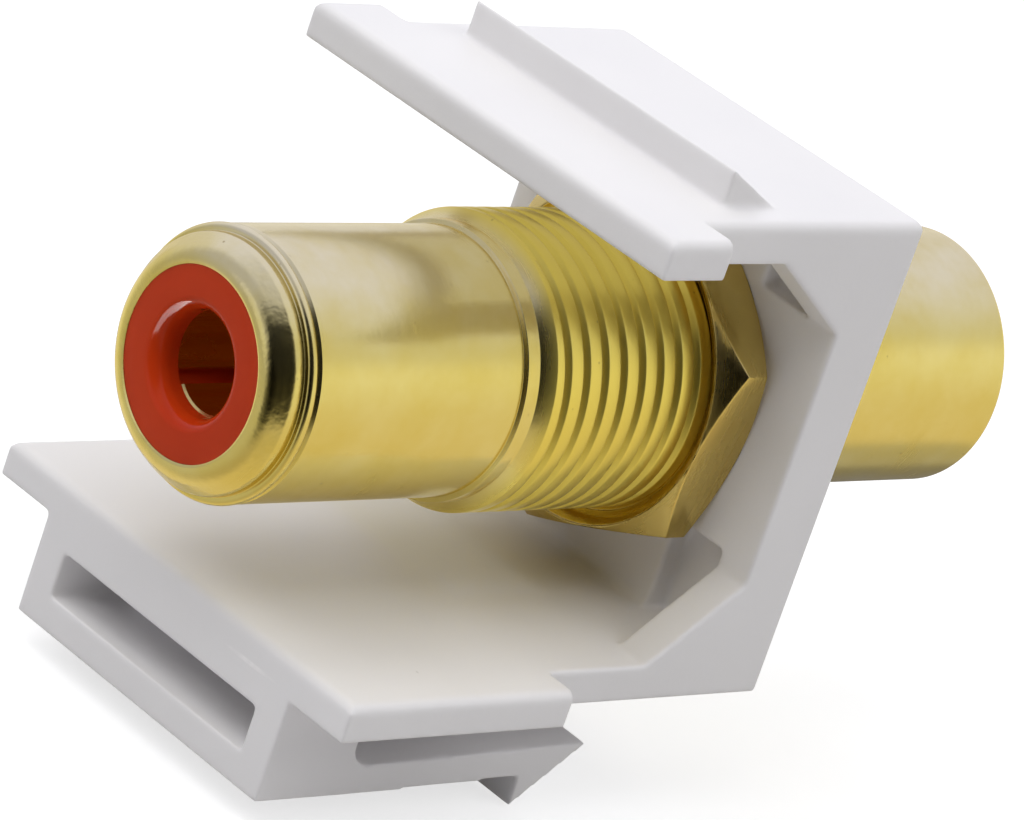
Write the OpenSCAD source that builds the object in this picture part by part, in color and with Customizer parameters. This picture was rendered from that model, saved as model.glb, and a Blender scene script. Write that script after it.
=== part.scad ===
// Snap-in keystone module with a double-ended phono coupler.
// The barrel's axis is the Y axis, the module's front face is at Y = 0 and faces -Y,
// and the flexible latch arm is on top.

/* [Front plate] */
// Width of the module's face
plate_w = 14.5; // [14:0.1:15]
// Height of the module's face
plate_h = 16.2; // [15.8:0.1:17]
// Thickness of the front plate
plate_t = 2.2; // [1.6:0.1:2.8]
// Chamfer round the front face
face_chamfer = 0.05; // [0.02:0.01:0.3]

/* [Panel fit] */
// Distance from the front face to the catches that hold the panel's ledge
catch_y = 7.9; // [7.2:0.1:8.6]
// Gap between the catches and the shoulders, for the panel's ledge
ledge_gap = 1.65; // [1.4:0.05:2]
// How far the shoulders stand out at each side of the plate
shoulder_out = 1.27; // [0.8:0.01:1.6]
// Radius of the long outside edges on top of both arms
edge_r = 0.35; // [0.15:0.05:0.45]

/* [Latch arm] */
// Thickness of the latch arm
latch_t = 1.35; // [1.1:0.05:1.6]
// Thickness of the finger tab at the latch arm's end
tab_t = 1.24; // [0.9:0.02:1.34]
// Length of the finger tab
tab_l = 2.6; // [1.8:0.1:3.6]
// Width of the latch wedge
wedge_w = 12.2; // [8:0.1:13]
// Height of the latch wedge at its catch
wedge_h = 1.22; // [0.8:0.02:1.6]
// Length of the latch wedge's ramp
wedge_l = 2.25; // [1.6:0.05:3]

/* [Lower arm] */
// Thickness of the lower arm and its shoulder plate
lower_t = 1.2; // [1:0.05:1.6]
// Length of the wide shoulder plate
shoulder_l = 9.2; // [7.5:0.1:11]
// Width of the hooked leg under the shoulder plate
leg_w = 12; // [9:0.1:13]
// Thickness of the leg
leg_t = 1; // [0.8:0.05:1.4]
// Height of the slot between the shoulder plate and the leg
slot_h = 2.4; // [1.8:0.1:3]
// How far the leg rises from the slot's blind end to its front
leg_rise = 0.24; // [0:0.02:0.4]
// Radius of the slot's blind end
slot_r = 0.75; // [0.3:0.05:0.85]
// Length of the block that joins the leg to the shoulder plate
block_l = 3.5; // [2.5:0.1:4.5]
// Height of the cored pocket in the block
core_h = 1.48; // [1:0.02:1.7]
// Wall left at each side of the cored pocket
core_wall = 1.22; // [0.8:0.02:2]
// Height of the pocket's floor above the slot's floor
core_lift = 0.1; // [0.02:0.02:0.3]
// How far the leg's hook reaches below the leg's root
hook_drop = 0.9; // [0.5:0.05:1.3]
// Length of the hook's ramp
hook_l = 2.6; // [1.8:0.1:3.5]

/* [Gussets and cored corners] */
// Thickness of the four corner gussets
gusset_t = 1.4; // [1:0.05:1.7]
// Reach of the upper gussets along the latch arm
upper_gusset_l = 3.4; // [2:0.1:4]
// Height of the upper gussets along the plate
upper_gusset_h = 2.4; // [1.5:0.1:3]
// Reach of the lower gussets along the lower arm
lower_gusset_l = 3.2; // [2:0.1:4]
// Height of the lower gussets along the plate
lower_gusset_h = 2.65; // [1.5:0.05:3.2]
// Width of the cored corners beside the gussets
corner_w = 2.1; // [1.2:0.1:2.4]
// Depth of the cored corners into the plate
corner_d = 0.8; // [0.4:0.1:1.2]
// How far the lower cored corners run past the gussets
corner_over = 0.5; // [0:0.1:0.8]
// Radius of the fillet between the plate and the arms
root_r = 0.4; // [0.2:0.05:0.7]

/* [Barrel] */
// Diameter of the socket shells
shell_d = 8.3; // [8.1:0.05:8.6]
// Diameter of the bore for the insulators
shell_bore_d = 5.9; // [5.4:0.1:6.4]
// Length of the barrel in front of the plate
front_l = 10.9; // [8:0.1:14]
// Length of the barrel behind the front face
rear_l = 21; // [19:0.1:24]
// Chamfer at the front end
front_chamfer = 0.45; // [0.2:0.05:0.6]
// Thickness of the flange in front of the plate
flange_t = 1.2; // [0.8:0.1:1.6]
// How far the flange reaches past the thread
flange_out = 0.85; // [0.6:0.05:1.1]
// Thickness of the web inside the barrel
web_t = 3; // [2:0.1:5]
// Distance from the front face to the web
web_y = 3.6; // [2:0.1:6]
// How far the web stands in from the bore
web_in = 0.7; // [0.4:0.05:0.9]

/* [Thread] */
// Outer diameter of the thread
thread_d = 9.5; // [9.3:0.05:9.8]
// Pitch of the thread
thread_p = 0.794; // [0.7:0.002:1]
// Depth of the thread
thread_depth = 0.32; // [0.2:0.01:0.36]
// Width of the thread's crests
thread_crest = 0.34; // [0.2:0.01:0.4]
// Width of the thread's grooves at their root
thread_root = 0.09; // [0.05:0.01:0.15]
// Distance from the front face to the thread's last groove
thread_end = 10.75; // [10:0.05:12]
// Width of the relief groove behind the thread at its mouth
relief_w = 0.46; // [0.4:0.02:0.5]
// Width of the relief groove at its floor
relief_root = 0.3; // [0.2:0.02:0.34]
// Length of the plain land behind the thread
land_l = 0.5; // [0.3:0.05:0.8]
// Length of the land's chamfer down to the socket shell
land_chamfer = 0.12; // [0.06:0.02:0.5]

/* [Rear lip] */
// Wall of the lip at its tip
lip_wall = 0.52; // [0.4:0.01:0.56]
// Length of the lip's flare
flare_l = 1; // [0.7:0.05:1.3]
// Drop from the shell to the flare's wide end
flare_step = 0.24; // [0.15:0.01:0.3]
// Length of the straight land at the flare's wide end
flare_land = 0.1; // [0.05:0.01:0.2]
// How far the flare is dished in at its middle
flare_dish = 0.05; // [0:0.01:0.08]
// Width of the bead behind the flare
bead_w = 0.34; // [0.2:0.02:0.6]
// How far the bead stands out from the shell
bead_out = 0.03; // [0.01:0.01:0.08]
// Width and depth of the fine groove in front of the bead
bead_groove = 0.12; // [0.06:0.01:0.16]
// Radius of the lip's rounded tip
tip_r = 0.2; // [0.1:0.01:0.22]

/* [Nut] */
// Wall of the nut between the thread and the flats
nut_wall = 0.55; // [0.45:0.05:1.2]
// Thickness of the nut
nut_t = 2; // [1.6:0.1:2.6]
// Depth of the chamfers at the nut's corners
nut_chamfer = 0.6; // [0.3:0.02:0.75]
// Distance from the flats in to the edge of the nut's round faces
nut_land = 0.04; // [0.02:0.01:0.2]
// Width of the round faces between the nut's countersinks and its chamfers
nut_rim = 0.06; // [0.03:0.01:0.2]
// Angle of the nut's first corner about the barrel, from +X towards +Z
nut_turn = 39.1; // [0:0.1:60]

/* [Insulators and contact] */
// Diameter of the pin hole in the insulators
pin_hole_d = 3.2; // [3.1:0.02:3.3]
// Radius of the pin hole's rounded mouth
mouth_r = 0.4; // [0.2:0.05:0.5]
// Depth of the insulators' faces below the barrel's ends
face_inset = 0.15; // [0:0.01:0.3]
// Distance from the insulators' faces to the contact's ends
contact_inset = 0.85; // [0.7:0.05:1.5]
// Inner diameter of the contact's tines
contact_bore_d = 3.06; // [2.8:0.02:3.08]
// Wall of the contact tube
contact_wall = 0.3; // [0.22:0.02:0.4]
// Depth of each socket in the contact
contact_depth = 9; // [7:0.5:11]
// Width of the slots between the tines
slit_w = 0.5; // [0.3:0.05:0.7]
// Length of the slots between the tines
slit_l = 5; // [3:0.5:6]
// Angle of the first slot about the barrel, from +X towards +Z
slit_turn = -40; // [-45:1:45]

/* [Fits] */
// Radial clearance between the thread and the hole in the plate
hole_gap = 0.1; // [0.05:0.01:0.2]
// Radial clearance between the nut's thread and the barrel's
nut_gap = 0.05; // [0.03:0.01:0.08]
// Radial clearance between the insulators and the barrel
insulator_gap = 0.02; // [0.01:0.01:0.05]
// Radial clearance between the contact and the insulators
contact_gap = 0.05; // [0.02:0.01:0.08]

/* [Hidden] */
$fn = 96;
// Overlap that lets cuts run clean through a face
eps = 0.01;
// Length by which cuts run out past a face
runout = 1;
// Length that reaches past everything
far = 60;
top_z = plate_h / 2;
base_z = -plate_h / 2;
shoulder_w = plate_w + 2 * shoulder_out;
shoulder_y = catch_y + ledge_gap;
tab_y = shoulder_y + tab_l;
lower_y = shoulder_y + shoulder_l;
slot_y = lower_y - block_l;
slot_z = base_z - slot_h;
hook_y = catch_y - hook_l;
slot_front_z = slot_z + leg_rise;
catch_z = slot_z - leg_t + leg_rise * (slot_y - catch_y) / (slot_y - hook_y);
leg_z = slot_z - leg_t;
hook_z = leg_z - hook_drop;
shell_r = shell_d / 2;
bore_r = shell_bore_d / 2;
thread_r = thread_d / 2;
hole_r = thread_r + hole_gap;
flange_r = thread_r + flange_out;
land_y = thread_end + land_l;
shell_y = land_y + land_chamfer;
flare_y = rear_l - flare_l;
bead_y = flare_y - bead_w;
groove_y = bead_y - bead_groove;
web_r = bore_r - web_in;
nut_flat_r = thread_r + nut_wall;
nut_corner_r = nut_flat_r / cos(30);
nut_face_r = nut_flat_r - nut_land;
nut_hole_r = thread_r + nut_gap;
nut_sink = nut_face_r - nut_rim - nut_hole_r;
pin_hole_r = pin_hole_d / 2;
contact_bore_r = contact_bore_d / 2;
contact_r = contact_bore_r + contact_wall;
cavity_r = contact_r + contact_gap;
rear_face_y = rear_l - face_inset;
front_face_y = -front_l + face_inset;
contact_rear_y = rear_face_y - contact_inset;
contact_front_y = front_face_y + contact_inset;
plastic_colour = [0.92, 0.91, 0.92];
gold_colour = [0.87, 0.72, 0.33];
nut_colour = [0.86, 0.66, 0.25];
red_colour = [0.65, 0.2, 0.1];

// Sweeps a side outline, drawn as Y and Z, evenly to both sides of the middle
module across(width) {
  rotate([90, 0, 90])
    linear_extrude(height = width, center = true)
      children();
}

// Turns an outline, drawn as radius and Y, about the barrel's axis
module turned() {
  rotate([-90, 0, 0])
    rotate_extrude()
      children();
}

// Rectangle from one corner to the opposite one
module box_2d(low, high) {
  translate(low)
    square(high - low);
}

// Inside corner fillet with its corner at the origin, filling towards +X and +Y
module fillet_2d(radius) {
  difference() {
    translate([-eps, -eps])
      square(radius + eps);
    translate([radius, radius])
      circle(radius);
  }
}

// Outline of the plate and both narrow arms, seen from the side
module frame_outline() {
  box_2d([0, base_z], [plate_t, top_z]);
  box_2d([0, top_z - latch_t], [shoulder_y + eps, top_z]);
  box_2d([0, base_z], [shoulder_y + eps, base_z + lower_t]);
  translate([plate_t, top_z - latch_t])
    mirror([0, 1])
      fillet_2d(root_r);
  translate([plate_t, base_z + lower_t])
    fillet_2d(root_r);
}

// Wedge on the latch arm: a ramp that rises from the front and a square catch behind it
module wedge_outline() {
  polygon([
    [catch_y - wedge_l, top_z - eps],
    [catch_y, top_z - eps],
    [catch_y, top_z + wedge_h],
    [catch_y - wedge_l, top_z]
  ]);
}

// Leg under the shoulder plate, with the hook at its front and the slot above it.
// It runs level under the block and rises a little from there to its front.
module leg_outline() {
  difference() {
    polygon([
      [lower_y, base_z + eps],
      [lower_y, leg_z],
      [slot_y, leg_z],
      [catch_y, catch_z],
      [catch_y, hook_z],
      [hook_y, slot_front_z],
      [hook_y, base_z + eps]
    ]);
    slot_outline();
  }
}

// The slot is open at the front and has a round corner at its blind end
module slot_outline() {
  difference() {
    polygon([
      [-eps, base_z],
      [slot_y, base_z],
      [slot_y, slot_z],
      [hook_y, slot_front_z],
      [-eps, slot_front_z]
    ]);
    translate([slot_y, slot_z])
      mirror([1, 0])
        fillet_2d(slot_r);
  }
  box_2d([-eps, base_z - eps], [shoulder_y, base_z + 2 * eps]);
}

// Gusset in the corner between the plate and an arm, level with the plate's side
module gusset(side, corner_z, up, reach, rise) {
  translate([side * (plate_w - gusset_t) / 2, 0, 0])
    across(gusset_t)
      polygon([
        [plate_t - eps, corner_z - up * eps],
        [plate_t + reach, corner_z - up * eps],
        [plate_t + reach, corner_z],
        [plate_t, corner_z + up * rise],
        [plate_t - eps, corner_z + up * rise]
      ]);
}

// Cored corner beside a gusset: a shallow pocket in the plate's inner face
module cored_corner(side, from_z, to_z) {
  outer = plate_w / 2 - gusset_t;
  translate([side * (outer - corner_w / 2) - corner_w / 2, plate_t - corner_d, from_z])
    cube([corner_w, corner_d + root_r, to_z - from_z]);
}

// Sliver that is cut away to round an outside edge, drawn with the edge at the origin
module edge_2d() {
  difference() {
    translate([-runout, -runout])
      square(runout + edge_r);
    translate([edge_r, edge_r])
      circle(edge_r);
  }
}

// Rounds the edges along Y at both sides, from one distance behind the front face to another
module long_edges(half_width, z, from_y, to_y) {
  for (side = [0, 1])
    mirror([side, 0, 0])
      translate([half_width, to_y, z])
        rotate([90, 0, 0])
          linear_extrude(height = to_y - from_y)
            mirror([1, 0])
              mirror([0, 1])
                edge_2d();
}

// Rounds the rear edge on top of an arm
module rear_edge(y, z) {
  across(far)
    translate([y, z])
      mirror([1, 0])
        mirror([0, 1])
          edge_2d();
}

// Chamfer round the front face, cut by four sloping prisms
module face_chamfers() {
  for (side = [-1, 1]) {
    translate([0, 0, side * plate_h / 2])
      rotate([45, 0, 0])
        cube([far, face_chamfer * sqrt(2), face_chamfer * sqrt(2)], center = true);
    translate([side * plate_w / 2, 0, 0])
      rotate([0, 0, 45])
        cube([face_chamfer * sqrt(2), face_chamfer * sqrt(2), far], center = true);
  }
}

module keystone_frame() {
  color(plastic_colour)
    difference() {
      union() {
        across(plate_w)
          frame_outline();
        across(wedge_w)
          wedge_outline();
        across(shoulder_w)
          box_2d([shoulder_y, top_z - tab_t], [tab_y, top_z]);
        across(shoulder_w)
          box_2d([shoulder_y, base_z], [lower_y, base_z + lower_t]);
        across(leg_w)
          leg_outline();
        for (side = [-1, 1]) {
          gusset(side, top_z - latch_t, -1, upper_gusset_l, upper_gusset_h);
          gusset(side, base_z + lower_t, 1, lower_gusset_l, lower_gusset_h);
        }
      }
      // Hole for the barrel
      turned()
        box_2d([0, -runout], [hole_r, plate_t + runout]);
      // Cored pocket through the block
      across(leg_w - 2 * core_wall)
        box_2d([slot_y - slot_r, slot_z + core_lift], [lower_y + runout, slot_z + core_lift + core_h]);
      for (side = [-1, 1]) {
        cored_corner(side, top_z - latch_t - upper_gusset_h, top_z - latch_t);
        cored_corner(side, base_z + lower_t, base_z + lower_t + lower_gusset_h + corner_over);
      }
      face_chamfers();
      long_edges(plate_w / 2, top_z, -runout, shoulder_y);
      long_edges(shoulder_w / 2, top_z, shoulder_y - eps, tab_y + runout);
      long_edges(shoulder_w / 2, base_z + lower_t, shoulder_y - eps, lower_y + runout);
      rear_edge(tab_y, top_z);
      rear_edge(lower_y, base_z + lower_t);
    }
}

// Points of one groove, from its front edge to its rear edge
function groove_points(y, radius, mouth, root) = [
  [radius, y - mouth / 2],
  [radius - thread_depth, y - root / 2],
  [radius - thread_depth, y + root / 2],
  [radius, y + mouth / 2]
];

// First groove of the thread, just behind the flange
thread_first = thread_end - thread_p * floor((thread_end - thread_p) / thread_p);

// Outside of the barrel from its front end to the fine groove in front of the rear lip's bead
module barrel_outline() {
  polygon(concat(
    [
      [0, -front_l],
      [shell_r - front_chamfer, -front_l],
      [shell_r, -front_l + front_chamfer],
      [shell_r, -flange_t],
      [flange_r - face_chamfer, -flange_t],
      [flange_r, -flange_t + face_chamfer],
      [flange_r, 0],
      [thread_r, 0]
    ],
    [
      for (y = [thread_first : thread_p : thread_end - thread_p / 2])
        each groove_points(y, thread_r, thread_p - thread_crest, thread_root)
    ],
    groove_points(thread_end, thread_r, relief_w, relief_root),
    [
      [thread_r, land_y],
      [shell_r, shell_y],
      [shell_r, groove_y],
      [shell_r - bead_groove, bead_y],
      [0, bead_y]
    ]
  ));
}

// Rear lip: a round bead and a flare that narrows to the rounded tip
module lip_outline() {
  bead_r = shell_r + bead_out;
  wide_r = shell_r - flare_step;
  tip_outer = bore_r + lip_wall;
  box_2d([0, bead_y - eps], [bead_r - bead_w / 2, flare_y]);
  translate([bead_r - bead_w / 2, (bead_y + flare_y) / 2])
    circle(bead_w / 2);
  polygon([
    [0, flare_y - eps],
    [wide_r, flare_y - eps],
    [wide_r, flare_y + flare_land],
    [(wide_r + tip_outer) / 2 - flare_dish, rear_l - flare_l / 2],
    [tip_outer, rear_l - tip_r],
    [tip_outer - tip_r, rear_l - tip_r],
    [tip_outer - tip_r, rear_l],
    [0, rear_l]
  ]);
  translate([tip_outer - tip_r, rear_l - tip_r])
    circle(tip_r);
}

// Bore for the insulators, with the web that both of them seat against
module bore_outline() {
  box_2d([-eps, -front_l - runout], [bore_r, web_y]);
  box_2d([-eps, web_y - eps], [web_r, web_y + web_t + eps]);
  box_2d([-eps, web_y + web_t], [bore_r, rear_l + runout]);
}

module barrel_shell() {
  color(gold_colour)
    turned()
      difference() {
        union() {
          barrel_outline();
          lip_outline();
        }
        bore_outline();
      }
}

// Round blank of the nut: both faces slope back to the corners
module nut_blank_outline() {
  slope = nut_chamfer / (nut_corner_r - nut_face_r);
  wide = nut_corner_r + nut_wall;
  drop = (wide - nut_face_r) * slope;
  difference() {
    box_2d([0, plate_t], [wide, plate_t + nut_t]);
    polygon([[nut_face_r, plate_t], [wide + eps, plate_t - eps], [wide + eps, plate_t + drop]]);
    polygon([
      [nut_face_r, plate_t + nut_t],
      [wide + eps, plate_t + nut_t + eps],
      [wide + eps, plate_t + nut_t - drop]
    ]);
  }
}

// Threaded hole of the nut: the barrel's own thread, set out by the clearance
module nut_hole_outline() {
  polygon(concat(
    [[0, -runout], [nut_hole_r, -runout]],
    [
      for (y = [thread_first : thread_p : thread_end - thread_p / 2])
        each groove_points(y, nut_hole_r, thread_p - thread_crest, thread_root)
    ],
    [[nut_hole_r, land_y], [0, land_y]]
  ));
  for (face = [plate_t, plate_t + nut_t])
    polygon([
      [0, face - nut_sink],
      [nut_hole_r, face - nut_sink],
      [nut_hole_r + nut_sink, face],
      [nut_hole_r, face + nut_sink],
      [0, face + nut_sink]
    ]);
}

module hex_nut() {
  color(nut_colour)
    difference() {
      intersection() {
        rotate([0, -nut_turn, 0])
          translate([0, plate_t, 0])
            rotate([-90, 0, 0])
              cylinder(h = nut_t, r = nut_corner_r, $fn = 6);
        turned()
          nut_blank_outline();
      }
      turned()
        nut_hole_outline();
    }
}

// Insulator bush from its seat to its face: pin hole with a round mouth, and the contact's cavity.
// It is drawn with the face towards +Y.
module insulator_outline(seat_y, face_y) {
  outer = bore_r - insulator_gap;
  difference() {
    box_2d([0, seat_y], [outer, face_y]);
    box_2d([-eps, seat_y - runout], [cavity_r, face_y - contact_inset]);
    box_2d([-eps, face_y - contact_inset - eps], [pin_hole_r, face_y + runout]);
    difference() {
      box_2d([pin_hole_r - eps, face_y - mouth_r], [pin_hole_r + mouth_r, face_y + eps]);
      translate([pin_hole_r + mouth_r, face_y - mouth_r])
        circle(mouth_r);
    }
  }
}

// Rear bush, with the spigot that lines the web's hole
module rear_insulator() {
  color(red_colour)
    turned() {
      insulator_outline(web_y + web_t, rear_face_y);
      difference() {
        box_2d([0, web_y], [web_r - insulator_gap, web_y + web_t + eps]);
        box_2d([-eps, web_y - eps], [cavity_r, web_y + web_t + 2 * eps]);
      }
    }
}

module front_insulator() {
  color(red_colour)
    mirror([0, 1, 0])
      turned()
        insulator_outline(-web_y, -front_face_y);
}

// Cross of slots that leaves four tines at one end of the contact
module tine_slots(from_y, to_y) {
  for (quarter = [0, 90])
    rotate([0, -slit_turn - quarter, 0])
      translate([-contact_r - runout, from_y, -slit_w / 2])
        cube([2 * (contact_r + runout), to_y - from_y, slit_w]);
}

// Contact tube with a blind socket at each end
module contact_outline() {
  difference() {
    box_2d([0, contact_front_y], [contact_r, contact_rear_y]);
    box_2d([-eps, contact_rear_y - contact_depth], [contact_bore_r, contact_rear_y + runout]);
    box_2d([-eps, contact_front_y - runout], [contact_bore_r, contact_front_y + contact_depth]);
  }
}

module centre_contact() {
  color(gold_colour)
    difference() {
      turned()
        contact_outline();
      tine_slots(contact_rear_y - slit_l, contact_rear_y + runout);
      tine_slots(contact_front_y - runout, contact_front_y + slit_l);
    }
}

keystone_frame();
barrel_shell();
hex_nut();
rear_insulator();
front_insulator();
centre_contact();
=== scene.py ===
"""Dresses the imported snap-in socket coupler.

It has a rounded moulded frame, a turned gold barrel, a nut, two bushes and a contact.
"""
import math

import bmesh
import bpy
import numpy as np
from mathutils import Matrix, Vector
from mathutils.bvhtree import BVHTree
from mathutils.kdtree import KDTree

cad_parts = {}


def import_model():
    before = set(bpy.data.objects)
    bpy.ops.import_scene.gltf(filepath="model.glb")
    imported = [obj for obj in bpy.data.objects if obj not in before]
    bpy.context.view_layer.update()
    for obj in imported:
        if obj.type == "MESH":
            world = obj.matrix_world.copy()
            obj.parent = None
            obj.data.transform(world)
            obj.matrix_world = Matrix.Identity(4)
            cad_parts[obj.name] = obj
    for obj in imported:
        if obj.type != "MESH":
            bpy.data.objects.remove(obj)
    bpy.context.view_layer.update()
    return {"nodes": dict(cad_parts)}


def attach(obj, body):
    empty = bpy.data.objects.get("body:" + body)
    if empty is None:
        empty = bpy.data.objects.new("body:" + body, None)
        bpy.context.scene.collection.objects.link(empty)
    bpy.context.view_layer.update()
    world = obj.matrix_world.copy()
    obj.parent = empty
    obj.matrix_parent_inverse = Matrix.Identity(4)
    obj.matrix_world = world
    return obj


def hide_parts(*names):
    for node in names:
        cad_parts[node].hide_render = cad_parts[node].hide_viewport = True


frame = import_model()

MM = 0.001
TAU = 2 * math.pi

# Sizes of the part, in millimetres. The thread's phase is a share of one turn
SHELL_R = 4.15
BORE_R = 2.95
FRONT_END = -10.9
REAR_END = 21.0
FRONT_CHAMFER = 0.45
FLANGE_T = 1.2
FLANGE_R = 5.6
WEB_Y = 3.6
WEB_T = 3.0
WEB_R = 2.25
THREAD_R = 4.66
PITCH = 0.794
THREAD_DEPTH = 0.17
THREAD_CREST = 0.5
THREAD_ROOT = 0.05
THREAD_START = 0.35
THREAD_END = 10.2
THREAD_PHASE = 0.52
CHAMFER_START = 10.4
CHAMFER_END = 10.82
NECK_R = 4.31
NECK_END = 11.3
SHELL_START = 11.33
CUT_GAP = 0.01
GROOVE_START = 19.54
BEAD_START = 19.66
BEAD_GROOVE = 0.12
FLARE_START = 20.0
BEAD_R = 4.18
FLARE_R = 3.91
LIP_START = 20.32
TIP_R = 3.38
TIP_ROUND = 0.7
EDGE_W = 0.07
EDGE_DROP = 0.031
INSET = 0.15
PIN_R = 1.6
MOUTH = 0.46
MOUTH_DEEP = 0.63
FACE_RISE = 0.11
RIM_R = 2.66
RIM_DROP = 0.008
# Distance out from the rim's radius and share of its drop, along the soft step
RIM_STEP = ((0.08, 1), (0.03, 0.8), (-0.03, 0.2), (-0.08, 0))
CONTACT_INSET = 0.85
CAVITY_R = 1.88
BUSH_GAP = 0.003
CONTACT_BORE_R = 1.53
FUNNEL = 0.06
TINE_OPEN = 0.09
TINE_L = 4.5

# How the meshes are made, with angles in degrees and lengths in millimetres
SEGMENTS = 256
OFF_SURFACE = 0.09
TINE_ANGLE = 5
TINE_HALF = 44.5
BORE_SLACK = 1.05
BEAD_SWEEP = 150
BEAD_STEPS = 12
LIP_STEPS = 9
MOUTH_STEPS = 12
SHARP_BARREL = 40
FRAME_CELL = 0.08
FRAME_PASSES = 6
FRAME_SHARE = 0.28
FLAT_TURN = 0.4
NUT_ROUND = 0.04
NUT_SEGMENTS = 2
NUT_ANGLE = 24

# Places on the barrel, in metres
THREAD_ZONE = (-0.0003, 0)
NECK_ZONE = (0.01035, 0.01075)
LIP_ZONE = (0.02005, 0.0203)
# Heights on the upper side of the barrel where the painted sheen fades in
PAINTED_SHEEN_ZONE = (0.0021, 0.0040)
DING = (-0.00450, 0.00679, -0.00153)
DING_HALF = (0.0002, 0.00018, 0.00030)
# The marks on the plastic, in metres
SCRATCH = (-0.00400, 0.01875, -0.00787)
SCRATCH_HALF = (0.00146, 0.0003, 0.00009)
SPECK = (-0.00672, 0.01465, -0.00690)
SPECK_HALF = (0.00007, 0.00004, 0.0001)

# How the materials look. Bump distances are in metres
GRAIN_BUMP = 0.0000035
FLOW_BUMP = 0.00002
SCRATCH_BUMP = 0.00001
FINE_BUMP = 0.0000016
TURNED_BUMP = 0.0000010
CLOUD_BUMP = 0.0000110
LIP_BUMP = 0.000022
RED_BUMP = 0.000005
THREAD_ROUGHER = 0.12
THREAD_DULL = -0.16
PLASTIC_DARK = (0.815, 0.80, 0.805)
PLASTIC_PALE = (0.84, 0.825, 0.828)
SCRATCH_COLOUR = (0.93, 0.91, 0.91)
SPECK_COLOUR = (0.42, 0.40, 0.38)
GOLD = (0.80, 0.67, 0.235)
GOLD_DEEPER = (0.75, 0.595, 0.14)
GOLD_THREAD = (0.86, 0.69, 0.13)
# Pale gold of the painted sheen, which stands in for a reflection on the upper side
GOLD_PAINTED_SHEEN = (0.90, 0.82, 0.60)
GOLD_SPOT = (0.30, 0.21, 0.05)
NUT_GOLD = (0.70, 0.54, 0.17)
NUT_DEEPER = (0.62, 0.46, 0.13)
CONTACT_GOLD = (0.80, 0.64, 0.22)
CONTACT_DEEPER = (0.72, 0.56, 0.17)
# Colour and strength of the painted glow that the contact gives off in place of red light through the bush
CONTACT_PAINTED_GLOW = (1.0, 0.15, 0.0, 1)
CONTACT_PAINTED_GLOW_POWER = 0.019
RED = (0.47, 0.034, 0.004)
RED_LIGHTER = (0.56, 0.047, 0.007)


def link(obj):
    bpy.context.scene.collection.objects.link(obj)
    return obj


def to_object(bm, name):
    """New object with the mesh of bm, which is freed."""
    mesh = bpy.data.meshes.new(name)
    bm.to_mesh(mesh)
    bm.free()
    return link(bpy.data.objects.new(name, mesh))


def applied(obj):
    """The mesh that the object's modifiers make. The modifiers are then taken off."""
    bpy.context.view_layer.update()
    evaluated = obj.evaluated_get(bpy.context.evaluated_depsgraph_get())
    mesh = bpy.data.meshes.new_from_object(evaluated)
    obj.modifiers.clear()
    return mesh


def rounded(points, radii, steps=5):
    """An outline with an arc of the given radius at each corner, which stays where the radius is 0."""
    result = []
    count = len(points)
    for i, (point, radius) in enumerate(zip(points, radii)):
        if radius <= 0:
            result.append(tuple(point))
            continue
        corner = Vector(point)
        to_last = (Vector(points[i - 1]) - corner).normalized()
        to_next = (Vector(points[(i + 1) % count]) - corner).normalized()
        half = to_last.angle(to_next) / 2
        reach = radius / math.tan(half)
        centre = corner + (to_last + to_next).normalized() * (radius / math.sin(half))
        a = corner + to_last * reach - centre
        b = corner + to_next * reach - centre
        sweep = a.angle(b)
        for k in range(steps + 1):
            t = k / steps
            spoke = (a * math.sin((1 - t) * sweep) + b * math.sin(t * sweep)) / math.sin(sweep)
            result.append(tuple(centre + spoke))
    return result


def on_axis(radius, y, angle):
    return (radius * MM * math.cos(angle), y * MM, radius * MM * math.sin(angle))


def ring_of(bm, radius, y):
    return [bm.verts.new(on_axis(radius, y, TAU * k / SEGMENTS)) for k in range(SEGMENTS)]


def skin(bm, rings, wraps=None):
    """Faces between neighbouring rings, and from the last ring back to the first.

    The end of ring i meets the start of ring i, or of ring wraps[i] where wraps is given.
    """
    for i in range(len(rings)):
        j = (i + 1) % len(rings)
        for k in range(SEGMENTS):
            if k < SEGMENTS - 1:
                corners = (rings[i][k], rings[i][k + 1], rings[j][k + 1], rings[j][k])
            else:
                wi = wraps[i] if wraps else i
                wj = wraps[j] if wraps else j
                corners = (rings[i][k], rings[wi][0], rings[wj][0], rings[j][k])
            bm.faces.new(corners)


def finish_mesh(bm, name, angle=35):
    bmesh.ops.remove_doubles(bm, verts=bm.verts, dist=2e-7)
    bmesh.ops.dissolve_degenerate(bm, edges=bm.edges, dist=1e-7)
    bmesh.ops.recalc_face_normals(bm, faces=bm.faces)
    limit = math.radians(angle)
    for face in bm.faces:
        face.smooth = True
    for edge in bm.edges:
        edge.smooth = len(edge.link_faces) == 2 and edge.calc_face_angle(0) < limit
    return to_object(bm, name)


def lathe(name, outline):
    """Turns a closed outline of (radius, y) in millimetres about the barrel's axis."""
    bm = bmesh.new()
    skin(bm, [ring_of(bm, radius, y) for radius, y in outline])
    return finish_mesh(bm, name)


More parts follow.
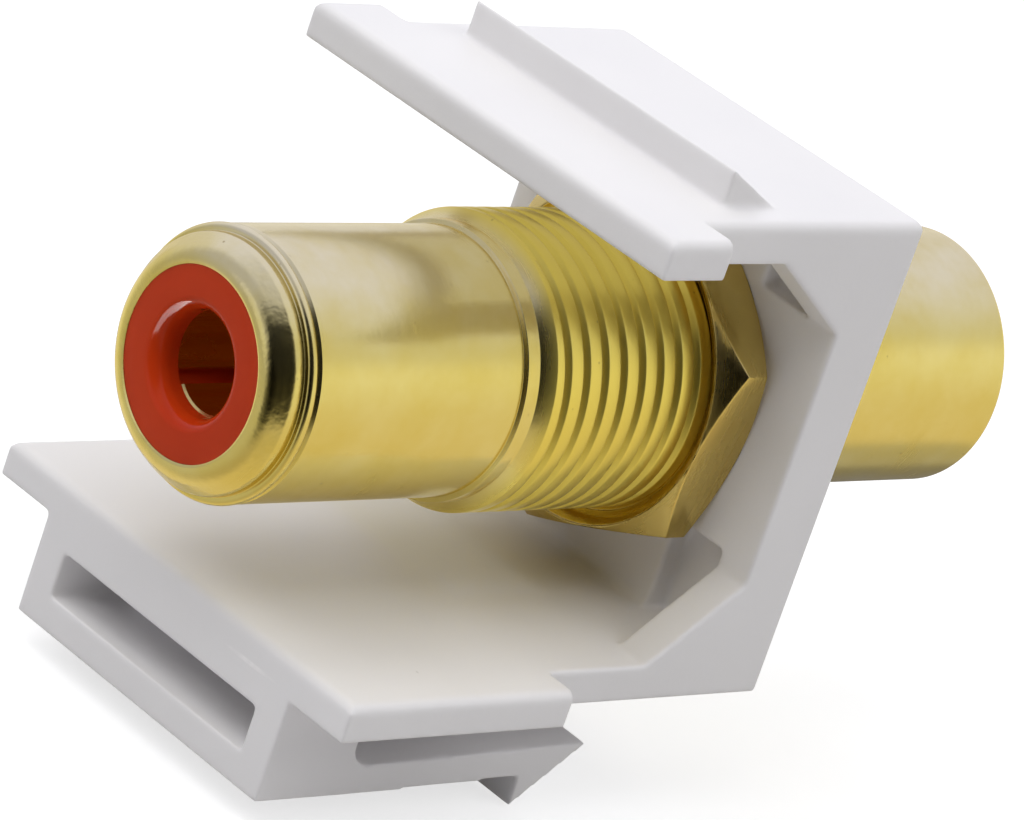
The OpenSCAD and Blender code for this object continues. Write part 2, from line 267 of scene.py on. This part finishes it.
def bevelled_copy(node, name, width, segments, limit):
    """Copy of a CAD node whose edges are rounded where they turn by more than limit degrees."""
    bm = bmesh.new()
    bm.from_mesh(frame["nodes"][node].data)
    bmesh.ops.remove_doubles(bm, verts=bm.verts, dist=1e-6)
    # A cut down the middle keeps each flat face with a hole in it in two plain halves
    bmesh.ops.bisect_plane(
        bm, geom=bm.verts[:] + bm.edges[:] + bm.faces[:], dist=1e-7,
        plane_co=(0, 0, 0), plane_no=(1, 0, 0),
    )
    for edge in bm.edges:
        edge.seam = all(abs(v.co.x) < 1e-6 for v in edge.verts)
    bmesh.ops.dissolve_limit(
        bm, angle_limit=math.radians(0.5), verts=bm.verts, edges=bm.edges,
        use_dissolve_boundaries=False, delimit={"SEAM"},
    )
    for face in bm.faces:
        face.smooth = True
    obj = to_object(bm, name)
    bevel = obj.modifiers.new("edges", "BEVEL")
    bevel.width = width * MM
    bevel.segments = segments
    bevel.use_clamp_overlap = False
    bevel.limit_method = "ANGLE"
    bevel.angle_limit = math.radians(limit)
    bevel.miter_outer = "MITER_ARC"
    bevel.harden_normals = True
    final = applied(obj)
    obj.data = final
    # A corner point that the rounding throws off the solid goes back onto it
    solid = bmesh.new()
    solid.from_mesh(frame["nodes"][node].data)
    tree = BVHTree.FromBMesh(solid)
    solid.free()
    for vertex in final.vertices:
        place, _, _, distance = tree.find_nearest(vertex.co)
        if distance > OFF_SURFACE * MM:
            vertex.co = place
    return obj


def moulded_copy(node, name, cell, passes, share):
    """Copy of a CAD node in cells of one size, smoothed so that every edge is round.

    Only flat areas lose faces, down to a share of all of them.
    """
    solid = frame["nodes"][node]
    obj = link(bpy.data.objects.new(name, solid.data.copy()))
    obj.data.materials.clear()
    remesh = obj.modifiers.new("cells", "REMESH")
    remesh.mode = "VOXEL"
    remesh.voxel_size = cell * MM
    remesh.adaptivity = 0
    smooth = obj.modifiers.new("round", "SMOOTH")
    smooth.factor = 0.5
    smooth.iterations = passes
    dense = applied(obj)
    count = len(dense.vertices)
    normals = np.empty(count * 3, dtype=np.float32)
    dense.vertex_normals.foreach_get("vector", normals)
    normals = normals.reshape(-1, 3)
    edges = np.empty(len(dense.edges) * 2, dtype=np.int32)
    dense.edges.foreach_get("vertices", edges)
    edges = edges.reshape(-1, 2)
    turn = np.einsum("ij,ij->i", normals[edges[:, 0]], normals[edges[:, 1]])
    least = np.ones(count, dtype=np.float32)
    np.minimum.at(least, edges[:, 0], turn)
    np.minimum.at(least, edges[:, 1], turn)
    tree = KDTree(count)
    for i, vertex in enumerate(dense.vertices):
        tree.insert(vertex.co, i)
    tree.balance()
    obj.data = dense
    flat = obj.vertex_groups.new(name="flat")
    flat.add(np.nonzero(least > math.cos(math.radians(FLAT_TURN)))[0].tolist(), 1.0, "REPLACE")
    fewer = obj.modifiers.new("fewer", "DECIMATE")
    fewer.ratio = share
    fewer.vertex_group = "flat"
    final = applied(obj)
    obj.vertex_groups.clear()
    obj.data = final
    # The box of the solid holds every point, and each keeps the direction that the smooth surface had there
    corners = [vertex.co for vertex in solid.data.vertices]
    low = [min(c[k] for c in corners) for k in range(3)]
    high = [max(c[k] for c in corners) for k in range(3)]
    kept = []
    for vertex in final.vertices:
        kept.append(normals[tree.find(vertex.co)[1]].tolist())
        vertex.co = [min(max(vertex.co[k], low[k]), high[k]) for k in range(3)]
    for face in final.polygons:
        face.use_smooth = True
    final.normals_split_custom_set_from_vertices(kept)
    return obj


def thread_stations():
    """Shares of one pitch and the drop below the crest there, with soft edges at the crest and the root."""
    mouth = (PITCH - THREAD_CREST) / 2 / PITCH
    root = THREAD_ROOT / 2 / PITCH
    half = [
        (0, THREAD_DEPTH), (root, THREAD_DEPTH - 0.012), (root + 0.03, THREAD_DEPTH - 0.06),
        (mouth - 0.03, 0.05), (mouth - 0.012, 0.024), (mouth + 0.015, 0.008),
        (mouth + 0.06, 0), (0.5, -0.002),
    ]
    return half + [(1 - share, drop) for share, drop in reversed(half[1:-1])]


def thread_drop(stations, share):
    """Drop below the crest at a share of the pitch."""
    share %= 1
    closed = stations + [(1, stations[0][1])]
    for (from_share, from_drop), (to_share, to_drop) in zip(closed, closed[1:]):
        if share <= to_share:
            part = (share - from_share) / (to_share - from_share)
            return from_drop + (to_drop - from_drop) * part
    return stations[0][1]


def thread_rings(bm):
    """Rows of one right-handed helical thread. It starts square and is cut off flat at its end."""
    stations = thread_stations()
    turns = math.ceil((THREAD_END - THREAD_START) / PITCH) + 3
    rings = []
    for turn in range(-2, turns):
        for share, drop in stations:
            ring = []
            for k in range(SEGMENTS):
                shift = THREAD_PHASE - k / SEGMENTS
                y = THREAD_START + (turn + share + shift) * PITCH
                if y <= THREAD_START:
                    y, drop_here = THREAD_START, 0
                elif y >= THREAD_END:
                    y = THREAD_END
                    drop_here = thread_drop(stations, (THREAD_END - THREAD_START) / PITCH - shift)
                else:
                    drop_here = drop
                ring.append(bm.verts.new(on_axis(THREAD_R - drop_here, y, TAU * k / SEGMENTS)))
            rings.append(ring)
    return rings, len(stations)


def barrel():
    bm = bmesh.new()
    front = rounded(
        [
            (BORE_R, FRONT_END), (SHELL_R - FRONT_CHAMFER, FRONT_END),
            (SHELL_R, FRONT_END + FRONT_CHAMFER), (SHELL_R, -FLANGE_T), (FLANGE_R, -FLANGE_T),
            (FLANGE_R, 0), (THREAD_R, 0), (THREAD_R, THREAD_START),
        ],
        [0.06, 0.12, 0.2, 0.1, 0.25, 0.05, 0, 0],
    )
    rear = rounded(
        [
            (THREAD_R, THREAD_END + CUT_GAP), (THREAD_R, CHAMFER_START), (NECK_R, CHAMFER_END),
            (NECK_R, NECK_END), (SHELL_R, SHELL_START), (SHELL_R, GROOVE_START),
            (SHELL_R - BEAD_GROOVE, BEAD_START),
        ],
        [0, 0.08, 0.08, 0.04, 0.03, 0.03, 0],
    )
    bead_round = (FLARE_START - BEAD_START) / 2
    bead_r = BEAD_R - bead_round
    bead_y = (FLARE_START + BEAD_START) / 2
    for k in range(BEAD_STEPS + 1):
        angle = math.radians(BEAD_SWEEP - BEAD_SWEEP * k / BEAD_STEPS)
        rear.append((
            bead_r + bead_round * math.sin(angle),
            bead_y - bead_round * math.cos(angle + math.pi),
        ))
    rear += rounded(
        [
            (bead_r, FLARE_START), (FLARE_R, FLARE_START), (FLARE_R, LIP_START), (TIP_R, REAR_END),
            (BORE_R + EDGE_W, REAR_END), (BORE_R, REAR_END - EDGE_DROP),
        ],
        [0, 0.03, 0.35, TIP_ROUND, 0, 0], LIP_STEPS,
    )[1:]
    rear += [(BORE_R, WEB_Y + WEB_T), (WEB_R, WEB_Y + WEB_T), (WEB_R, WEB_Y), (BORE_R, WEB_Y)]
    rings = [ring_of(bm, radius, y) for radius, y in front]
    wraps = list(range(len(rings)))
    thread, per_turn = thread_rings(bm)
    start = len(rings)
    for i in range(len(thread)):
        wraps.append(start + i - per_turn if i >= per_turn else start + i)
    rings += thread
    for radius, y in rear:
        wraps.append(len(rings))
        rings.append(ring_of(bm, radius, y))
    skin(bm, rings, wraps)
    return finish_mesh(bm, "turned_barrel", SHARP_BARREL)


def bush(name, seat, face, spigot):
    """Red bush whose visible face stands almost flush with the metal.

    Its spigot, if it has one, reaches through the web to that y.
    """
    d = 1 if face > seat else -1
    outer = BORE_R - BUSH_GAP
    top = face + d * FACE_RISE
    mouth = []
    for k in range(MOUTH_STEPS + 1):
        turn = math.radians(90 * (1 - k / MOUTH_STEPS))
        mouth.append((
            PIN_R + MOUTH * (1 - math.cos(turn)),
            top - d * MOUTH_DEEP * (1 - math.sin(turn)),
        ))
    # The face has a rim that lies a little lower, behind a soft step
    outline = [(outer, seat), (outer, top - d * RIM_DROP)]
    outline += [(RIM_R + out, top - d * RIM_DROP * share) for out, share in RIM_STEP]
    outline += mouth
    outline += [(PIN_R, face - d * CONTACT_INSET), (CAVITY_R, face - d * CONTACT_INSET)]
    if spigot is None:
        outline += [(CAVITY_R, seat)]
    else:
        outline += [(CAVITY_R, spigot), (WEB_R - BUSH_GAP, spigot), (WEB_R - BUSH_GAP, seat)]
    return lathe(name, outline)


def contact_copy():
    """Copy of the contact with a small funnel at its rear end. The tine towards +X stands wider."""
    bm = bmesh.new()
    bm.from_mesh(frame["nodes"]["centre_contact"].data)
    bmesh.ops.remove_doubles(bm, verts=bm.verts, dist=1e-6)
    end = (REAR_END - INSET - CONTACT_INSET) * MM
    bmesh.ops.bisect_plane(
        bm, geom=bm.verts[:] + bm.edges[:] + bm.faces[:], dist=1e-7,
        plane_co=(0, end - FUNNEL * MM, 0), plane_no=(0, 1, 0),
    )
    for vertex in bm.verts:
        x, y, z = vertex.co
        radius = math.hypot(x, z)
        off_tine = abs((math.degrees(math.atan2(z, x)) - TINE_ANGLE + 180) % 360 - 180)
        inside = radius < CONTACT_BORE_R * MM * BORE_SLACK
        grow = FUNNEL * MM if inside and y > end - 1e-6 else 0
        if off_tine < TINE_HALF:
            reach = max(0, 1 - (end - y) / (TINE_L * MM))
            grow = reach * (TINE_OPEN if inside else TINE_OPEN / 2) * MM
        vertex.co = (x * (1 + grow / radius), y, z * (1 + grow / radius))
    return finish_mesh(bm, "slotted_contact")


# Node helpers
def bare_material(name):
    material = bpy.data.materials.new(name)
    material.use_nodes = True
    material.node_tree.nodes.clear()
    return material


def new_material(name):
    material = bare_material(name)
    nodes = material.node_tree.nodes
    output = nodes.new("ShaderNodeOutputMaterial")
    shader = nodes.new("ShaderNodeBsdfPrincipled")
    material.node_tree.links.new(shader.outputs[0], output.inputs[0])
    return material, shader


class Graph:
    def __init__(self, owner, output="Object"):
        self.tree = owner.node_tree
        self.position = self.node("ShaderNodeTexCoord").outputs[output]

    def node(self, kind, **values):
        node = self.tree.nodes.new(kind)
        for key, value in values.items():
            setattr(node, key, value)
        return node

    def join(self, out, into):
        self.tree.links.new(out, into)

    def scaled(self, scale):
        mapping = self.node("ShaderNodeMapping")
        mapping.inputs["Scale"].default_value = scale
        self.join(self.position, mapping.inputs["Vector"])
        return mapping.outputs[0]

    def noise(self, scale, detail=3.0, roughness=0.5, vector=None):
        noise = self.node("ShaderNodeTexNoise")
        noise.inputs["Scale"].default_value = scale
        noise.inputs["Detail"].default_value = detail
        noise.inputs["Roughness"].default_value = roughness
        self.join(vector or self.position, noise.inputs["Vector"])
        return noise.outputs["Fac"]

    def ramp(self, value, low, high, start=0.0, end=1.0, smooth=False):
        kind = "SMOOTHSTEP" if smooth else "LINEAR"
        node = self.node("ShaderNodeMapRange", interpolation_type=kind)
        node.inputs["From Min"].default_value = low
        node.inputs["From Max"].default_value = high
        node.inputs["To Min"].default_value = start
        node.inputs["To Max"].default_value = end
        self.join(value, node.inputs["Value"])
        return node.outputs["Result"]

    def cells(self, scale):
        """Distance to the nearest point of a scattered set."""
        node = self.node("ShaderNodeTexVoronoi")
        node.inputs["Scale"].default_value = scale
        self.join(self.position, node.inputs["Vector"])
        return node.outputs["Distance"]

    def ellipse(self, centre, half):
        """1 inside an ellipsoid, falling softly to 0 outside it."""
        shift = self.node("ShaderNodeVectorMath", operation="SUBTRACT")
        shift.inputs[1].default_value = centre
        self.join(self.position, shift.inputs[0])
        divide = self.node("ShaderNodeVectorMath", operation="DIVIDE")
        divide.inputs[1].default_value = half
        self.join(shift.outputs[0], divide.inputs[0])
        length = self.node("ShaderNodeVectorMath", operation="LENGTH")
        self.join(divide.outputs[0], length.inputs[0])
        return self.ramp(length.outputs["Value"], 0.5, 1.0, 1, 0)

    def along(self, direction):
        """How far the position vector goes along a direction."""
        node = self.node("ShaderNodeVectorMath", operation="DOT_PRODUCT")
        node.inputs[1].default_value = direction
        self.join(self.position, node.inputs[0])
        return node.outputs["Value"]

    def math(self, operation, *values):
        node = self.node("ShaderNodeMath", operation=operation)
        for socket, value in zip(node.inputs, values):
            if isinstance(value, (int, float)):
                socket.default_value = value
            else:
                self.join(value, socket)
        return node.outputs[0]

    def mix(self, factor, a, b):
        node = self.node("ShaderNodeMix", data_type="RGBA")
        self.join(factor, node.inputs["Factor"])
        for socket, value in ((node.inputs["A"], a), (node.inputs["B"], b)):
            if isinstance(value, tuple):
                socket.default_value = (*value, 1)
            else:
                self.join(value, socket)
        return node.outputs["Result"]

    def bump(self, height, distance, strength=1.0, normal=None):
        node = self.node("ShaderNodeBump")
        node.inputs["Distance"].default_value = distance
        node.inputs["Strength"].default_value = strength
        self.join(height, node.inputs["Height"])
        if normal:
            self.join(normal, node.inputs["Normal"])
        return node.outputs[0]


def plastic_material():
    material, shader = new_material("white_moulded_plastic")
    g = Graph(material)
    cloud = g.noise(140, 2)
    flow = g.noise(60, 3, 0.6, g.scaled((1, 0.35, 1)))
    grain = g.noise(5200, 3, 0.6)
    tint = g.mix(g.ramp(cloud, 0.35, 0.65), PLASTIC_DARK, PLASTIC_PALE)
    # A pale scratch on the rear face of the shoulder plate and a dark speck on top of it
    lines = g.ramp(g.noise(900, 3, 0.7), 0.40, 0.58, 0.25, 1)
    marks = g.math("MULTIPLY", lines, g.ellipse(SCRATCH, SCRATCH_HALF))
    worn = g.mix(g.math("MULTIPLY", marks, 0.9), tint, SCRATCH_COLOUR)
    speck = g.math("MULTIPLY", g.ellipse(SPECK, SPECK_HALF), 0.5)
    g.join(g.mix(speck, worn, SPECK_COLOUR), shader.inputs["Base Color"])
    g.join(g.ramp(cloud, 0.3, 0.7, 0.42, 0.52), shader.inputs["Roughness"])
    fine = g.bump(grain, GRAIN_BUMP)
    wavy = g.bump(flow, FLOW_BUMP, 0.5, fine)
    g.join(g.bump(marks, SCRATCH_BUMP, 0.6, wavy), shader.inputs["Normal"])
    shader.inputs["IOR"].default_value = 1.46
    return material


def gold_material(name, base, other, rough_low, rough_high, specks, deep=None):
    material, shader = new_material(name)
    g = Graph(material)
    # Turning marks run round the barrel, so they vary only along its axis
    marks = g.noise(7000, 4, 0.7, g.scaled((0.015, 1, 0.015)))
    cloud = g.noise(420, 4, 0.6)
    broad = g.noise(130, 2, 0.5)
    tone = g.math("ADD", g.math("MULTIPLY", cloud, 0.6), g.math("MULTIPLY", broad, 0.4))
    colour = g.mix(g.ramp(tone, 0.36, 0.62), base, other)
    split = g.node("ShaderNodeSeparateXYZ")
    g.join(g.position, split.inputs[0])
    if deep:
        # Painted sheen: the upper side of the socket ends is painted paler, in place of the bright
        # reflection from above
        above = g.ramp(split.outputs["Z"], *PAINTED_SHEEN_ZONE, 0, 0.5, True)
        painted_sheen = g.math("MULTIPLY", above, g.ramp(tone, 0.40, 0.58, 1, 0.6))
        colour = g.mix(painted_sheen, colour, GOLD_PAINTED_SHEEN)
    pits = g.ramp(g.cells(1500), 0.0, 0.09, 1, 0)
    chosen = g.ramp(g.noise(310, 1), 0.56, 0.62)
    spots = g.math("MULTIPLY", g.math("MULTIPLY", pits, chosen), specks)
    if deep:
        # The thread is a deeper gold than the socket ends
        before_neck = g.ramp(split.outputs["Y"], *NECK_ZONE, 1, 0)
        past_face = g.ramp(split.outputs["Y"], *THREAD_ZONE, 0, 1)
        on_thread = g.math("MULTIPLY", before_neck, past_face)
        colour = g.mix(on_thread, colour, deep)
        spots = g.math("MAXIMUM", spots, g.math("MULTIPLY", g.ellipse(DING, DING_HALF), 0.6))
    g.join(g.mix(spots, colour, GOLD_SPOT), shader.inputs["Base Color"])
    wear = g.math("ADD", g.math("MULTIPLY", marks, 0.35), g.math("MULTIPLY", tone, 0.65))
    rough = g.ramp(wear, 0.38, 0.62, rough_low, rough_high)
    if deep:
        rough = g.math("ADD", rough, g.math("MULTIPLY", on_thread, THREAD_ROUGHER))
        g.join(g.math("MULTIPLY_ADD", on_thread, THREAD_DULL, 1.0), shader.inputs["Metallic"])
    else:
        shader.inputs["Metallic"].default_value = 1.0
    g.join(rough, shader.inputs["Roughness"])
    fine = g.bump(g.noise(5200, 2, 0.6), FINE_BUMP)
    turned_marks = g.bump(marks, TURNED_BUMP, 0.8, fine)
    height = g.math("SUBTRACT", g.math("MULTIPLY", cloud, 0.7), spots)
    dented = g.bump(height, CLOUD_BUMP, 0.9, turned_marks)
    if deep:
        # The lip of the socket that shows is uneven, so what it reflects looks streaked
        on_lip = g.ramp(split.outputs["Y"], *LIP_ZONE, 0, 1)
        uneven = g.math("MULTIPLY", on_lip, g.noise(1300, 3, 0.55))
        dented = g.bump(uneven, LIP_BUMP, 1.0, dented)
    g.join(dented, shader.inputs["Normal"])
    shader.inputs["Specular Tint"].default_value = (1.0, 0.97, 0.9, 1)
    return material


def contact_material():
    """Gold of the contact, with a painted dim red glow that stands in for the red light reaching it through
    the bush.
    """
    material, shader = new_material("plated_contact")
    g = Graph(material)
    cloud = g.noise(600, 3)
    tint = g.mix(g.ramp(cloud, 0.35, 0.65), CONTACT_GOLD, CONTACT_DEEPER)
    g.join(tint, shader.inputs["Base Color"])
    g.join(g.ramp(cloud, 0.3, 0.7, 0.2, 0.3), shader.inputs["Roughness"])
    shader.inputs["Metallic"].default_value = 1.0
    # Painted glow: the contact emits a dim red light of its own
    shader.inputs["Emission Color"].default_value = CONTACT_PAINTED_GLOW
    shader.inputs["Emission Strength"].default_value = CONTACT_PAINTED_GLOW_POWER
    return material


def red_material():
    material, shader = new_material("red_glossy_plastic")
    g = Graph(material)
    cloud = g.noise(420, 3)
    broad = g.noise(150, 2)
    tone = g.math("ADD", g.math("MULTIPLY", cloud, 0.4), g.math("MULTIPLY", broad, 0.6))
    g.join(g.mix(g.ramp(tone, 0.35, 0.65), RED, RED_LIGHTER), shader.inputs["Base Color"])
    g.join(g.ramp(cloud, 0.3, 0.7, 0.07, 0.12), shader.inputs["Roughness"])
    g.join(g.bump(g.noise(700, 2), RED_BUMP, 0.7), shader.inputs["Normal"])
    shader.inputs["IOR"].default_value = 1.5
    shader.inputs["Specular IOR Level"].default_value = 0.13
    shader.inputs["Subsurface Weight"].default_value = 0.15
    shader.inputs["Subsurface Radius"].default_value = (0.0006, 0.0001, 0.00005)
    shader.inputs["Subsurface Scale"].default_value = 1.0
    return material


plastic = plastic_material()
gold = gold_material("polished_gold_plate", GOLD, GOLD_DEEPER, 0.16, 0.28, 0.8, GOLD_THREAD)
nut_gold = gold_material("satin_gold_plate", NUT_GOLD, NUT_DEEPER, 0.20, 0.32, 0.5)
red = red_material()
contact_gold = contact_material()

moulding = moulded_copy("keystone_frame", "moulded_frame", FRAME_CELL, FRAME_PASSES, FRAME_SHARE)
turned = barrel()
nut = bevelled_copy("hex_nut", "panel_nut", NUT_ROUND, NUT_SEGMENTS, NUT_ANGLE)
rear_bush = bush("rear_bush", WEB_Y + WEB_T, REAR_END - INSET, WEB_Y)
front_bush = bush("front_bush", WEB_Y, FRONT_END + INSET, None)
contact = contact_copy()

for piece, node, slot, material in (
    (moulding, "keystone_frame", "white_plastic", plastic),
    (turned, "barrel_shell", "gold_plate", gold),
    (nut, "hex_nut", "gold_nut", nut_gold),
    (rear_bush, "rear_insulator", "red_insulator", red),
    (front_bush, "front_insulator", "red_insulator", red),
    (contact, "centre_contact", "gold_contact", contact_gold),
):
    piece.data.materials.clear()
    piece.data.materials.append(material)
    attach(piece, "root")
    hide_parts(node)


# Studio
UP = Vector((0.2144, 0.2237, 0.9509)).normalized()
# Colours that metal sees, from straight below to straight above
ROOM = (
    (0.0, (0.80, 0.70, 0.55)), (0.25, (0.85, 0.78, 0.66)), (0.42, (0.95, 0.94, 0.91)),
    (0.475, (0.95, 0.94, 0.92)), (0.55, (0.76, 0.765, 0.86)), (0.75, (0.80, 0.83, 1.2)),
    (1.0, (0.80, 0.83, 1.2)),
)
LEVEL = Vector((0, 0, -0.01242))
PATCH = Vector((0.30, 0.94, 0.12)).normalized()
LOW_WAY = Vector((0.55, -0.70, -0.45)).normalized()
DARK_WAY = Vector((-0.66, 0.69, 0.29)).normalized()
DARK_BELOW = Vector((-0.38, 0.91, -0.12)).normalized()
# Direction of a darker side, where it starts and is full, and what is left of the room's light there
DIM_SIDES = ((DARK_BELOW, 0.87, 0.96, 0.15), (LOW_WAY, 0.86, 0.975, 0.6))
FLOOR_HALF = 1.5
FLOOR_SEEN = (0.46, 0.46, 0.47)
FLOOR_COLOUR = (0.66, 0.66, 0.68)
FLOOR_GLOW = 0.68
AMBIENT = 0.03
# Place, size and strength of the cards that only metal sees. One is under the latch arm, one under
# the nut and two are under the front shell
CARDS = (
    ((0, 0.0072, 0.0064), (0.0072, 0.0088), 0.58),
    ((0.0018, 0.0072, -0.0067), (0.0080, 0.0040), 0.50),
    ((0.0045, -0.0125, -0.0090), (0.0130, 0.0170), 0.24),
    ((-0.0045, -0.0125, -0.0090), (0.0050, 0.0170), 0.50),
)
CARD_COLOUR = (1.0, 0.97, 0.93, 1)
TABLE_WAY = (0.0, 0.55, -0.83)
TABLE_RUN = (0.47, -0.77, -0.44)
TABLE_NEAR = 0.0095
TABLE_SIZE = (0.0064, 0.0125)
TABLE_POWER = 0.0031
# Name, direction and power of the lamps, which all have one distance and size
LAMPS = (
    ("rear_lamp", (0, 0.51, 0.86), 1.72), ("right_lamp", (0.58, 0.06, 0.81), 0.90),
    ("left_lamp", (-0.53, -0.31, 0.79), 0.84), ("low_rear_lamp", (0.66, 0.66, 0.34), 0.12),
    ("low_left_lamp", (-0.66, -0.66, 0.34), 0.40), ("low_right_lamp", (0.66, -0.66, 0.34), 0.55),
)
LAMP_DISTANCE = 0.5
LAMP_SIZE = (0.45, 0.45)
LAMP_AIM = (0, 0.005, 0)
# The camera that the photo was fitted with
FOCAL_PX = 6408
WIDTH_PX = 1024
SENSOR_MM = 36
CAMERA_RIGHT = (-0.63117088, -0.71117239, 0.30960806)
CAMERA_UP = (0.4564449, -0.01782368, 0.88957314)
CAMERA_PLACE = (-0.123906, 0.145824, 0.064577)


def placed(x_axis, y_axis, z_axis, place):
    """Matrix of an object with these axes at this place."""
    rows = [(x_axis[i], y_axis[i], z_axis[i], place[i]) for i in range(3)]
    return Matrix((*rows, (0, 0, 0, 1)))


def floor():
    bm = bmesh.new()
    bmesh.ops.create_grid(bm, x_segments=1, y_segments=1, size=FLOOR_HALF)
    obj = to_object(bm, "floor")
    obj.location = LEVEL
    material = bare_material("pale_floor")
    g = Graph(material)
    output = g.node("ShaderNodeOutputMaterial")
    diffuse = g.node("ShaderNodeBsdfDiffuse")
    glow = g.node("ShaderNodeEmission")
    path = g.node("ShaderNodeLightPath")
    g.join(g.mix(path.outputs["Is Camera Ray"], FLOOR_COLOUR, FLOOR_SEEN), diffuse.inputs["Color"])
    seen = g.math("MAXIMUM", path.outputs["Is Camera Ray"], path.outputs["Is Transmission Ray"])
    g.join(g.math("MULTIPLY", seen, FLOOR_GLOW), glow.inputs["Strength"])
    lit = g.node("ShaderNodeAddShader")
    g.join(diffuse.outputs[0], lit.inputs[0])
    g.join(glow.outputs[0], lit.inputs[1])
    # Metal sees the white sheet of the world through the floor
    clear = g.node("ShaderNodeBsdfTransparent")
    both = g.node("ShaderNodeMixShader")
    g.join(path.outputs["Is Glossy Ray"], both.inputs[0])
    g.join(lit.outputs[0], both.inputs[1])
    g.join(clear.outputs[0], both.inputs[2])
    g.join(both.outputs[0], output.inputs[0])
    obj.data.materials.append(material)


def world():
    """White for the camera, an even grey for diffuse light, and a room for reflections.

    The room is white with darker sides and one bright patch.
    """
    studio = bpy.data.worlds.new("studio")
    bpy.context.scene.world = studio
    studio.use_nodes = True
    studio.node_tree.nodes.clear()
    g = Graph(studio, "Generated")
    output = g.node("ShaderNodeOutputWorld")
    path = g.node("ShaderNodeLightPath")
    wobble = g.noise(3.0, 2, 0.5)
    height = g.math("MULTIPLY_ADD", g.along(UP), 0.5, 0.5)
    sheet = g.node("ShaderNodeValToRGB")
    elements = sheet.color_ramp.elements
    while len(elements) < len(ROOM):
        elements.new(0.5)
    for element, (place, colour) in zip(elements, ROOM):
        element.position = place
        element.color = (*colour, 1)
    g.join(height, sheet.inputs[0])
    room = g.ramp(g.along((0, 1, 0)), 0.1, 0.6, 1, 0.66, True)
    uneven = g.math("MULTIPLY", g.math("SUBTRACT", wobble, 0.5), 0.16)
    towards = g.math("ADD", g.along(DARK_WAY), uneven)
    room = g.math("MULTIPLY", room, g.ramp(towards, 0.69, 0.86, 1, 0.04, True))
    for way, low, high, least in DIM_SIDES:
        room = g.math("MULTIPLY", room, g.ramp(g.along(way), low, high, 1, least, True))
    room = g.math("MAXIMUM", room, g.ramp(g.along(PATCH), 0.935, 0.985, 0, 1.0, True))
    reflected = g.node("ShaderNodeBackground")
    g.join(sheet.outputs["Color"], reflected.inputs["Color"])
    g.join(room, reflected.inputs["Strength"])
    even = g.node("ShaderNodeBackground")
    even.inputs["Color"].default_value = (AMBIENT, AMBIENT, AMBIENT, 1)
    white = g.node("ShaderNodeBackground")
    white.inputs["Color"].default_value = (1, 1, 1, 1)
    first = g.node("ShaderNodeMixShader")
    g.join(path.outputs["Is Glossy Ray"], first.inputs[0])
    g.join(even.outputs[0], first.inputs[1])
    g.join(reflected.outputs[0], first.inputs[2])
    last = g.node("ShaderNodeMixShader")
    seen = g.math("MAXIMUM", path.outputs["Is Camera Ray"], path.outputs["Is Transmission Ray"])
    g.join(seen, last.inputs[0])
    g.join(first.outputs[0], last.inputs[1])
    g.join(white.outputs[0], last.inputs[2])
    g.join(last.outputs[0], output.inputs[0])


def area_light(name, size, power):
    data = bpy.data.lights.new(name, "AREA")
    data.shape = "RECTANGLE"
    data.size, data.size_y = size
    data.energy = power
    return link(bpy.data.objects.new(name, data))


def lamp(name, direction, power):
    obj = area_light(name, LAMP_SIZE, power)
    way = Vector(direction).normalized()
    obj.location = Vector(LAMP_AIM) + way * LAMP_DISTANCE
    obj.rotation_euler = (-way).to_track_quat("-Z", "Y").to_euler()
    # Metal reflects the world and the cards, but no lamp
    obj.visible_glossy = False


def table_light():
    """The bright table in front of the socket. Only the red bush shows it, as a crescent on its mouth."""
    obj = area_light("table_light", TABLE_SIZE, TABLE_POWER)
    way = Vector(TABLE_WAY).normalized()
    run = Vector(TABLE_RUN)
    run = (run - way * run.dot(way)).normalized()
    across = way.cross(run)
    place = Vector((0, REAR_END * MM, 0)) + way * TABLE_NEAR
    obj.matrix_world = placed(across, run, way, place)
    obj.visible_camera = False
    obj.visible_diffuse = False
    red_only = bpy.data.collections.new("red_only")
    red_only.objects.link(rear_bush)
    obj.light_linking.receiver_collection = red_only


def fill_card(place, size, strength):
    """A flat glowing card that only metal sees."""
    bm = bmesh.new()
    bmesh.ops.create_grid(bm, x_segments=1, y_segments=1, size=0.5)
    obj = to_object(bm, "fill_card")
    obj.location = place
    obj.scale = (*size, 1)
    material = bare_material("card_glow")
    g = Graph(material)
    output = g.node("ShaderNodeOutputMaterial")
    glow = g.node("ShaderNodeEmission")
    glow.inputs["Color"].default_value = CARD_COLOUR
    glow.inputs["Strength"].default_value = strength
    g.join(glow.outputs[0], output.inputs[0])
    obj.data.materials.append(material)
    obj.visible_camera = False
    obj.visible_diffuse = False
    obj.visible_transmission = False
    obj.visible_shadow = False


def camera():
    data = bpy.data.cameras.new("camera")
    data.sensor_width = SENSOR_MM
    data.lens = FOCAL_PX / WIDTH_PX * SENSOR_MM
    data.clip_start = 0.01
    data.clip_end = 10
    obj = link(bpy.data.objects.new("camera", data))
    right = Vector(CAMERA_RIGHT)
    up = Vector(CAMERA_UP)
    obj.matrix_world = placed(right, up, right.cross(up), CAMERA_PLACE)
    bpy.context.scene.camera = obj


floor()
world()
for place, size, strength in CARDS:
    fill_card(place, size, strength)
table_light()
for name, direction, power in LAMPS:
    lamp(name, direction, power)
camera()
bpy.context.scene.view_settings.view_transform = "Standard"
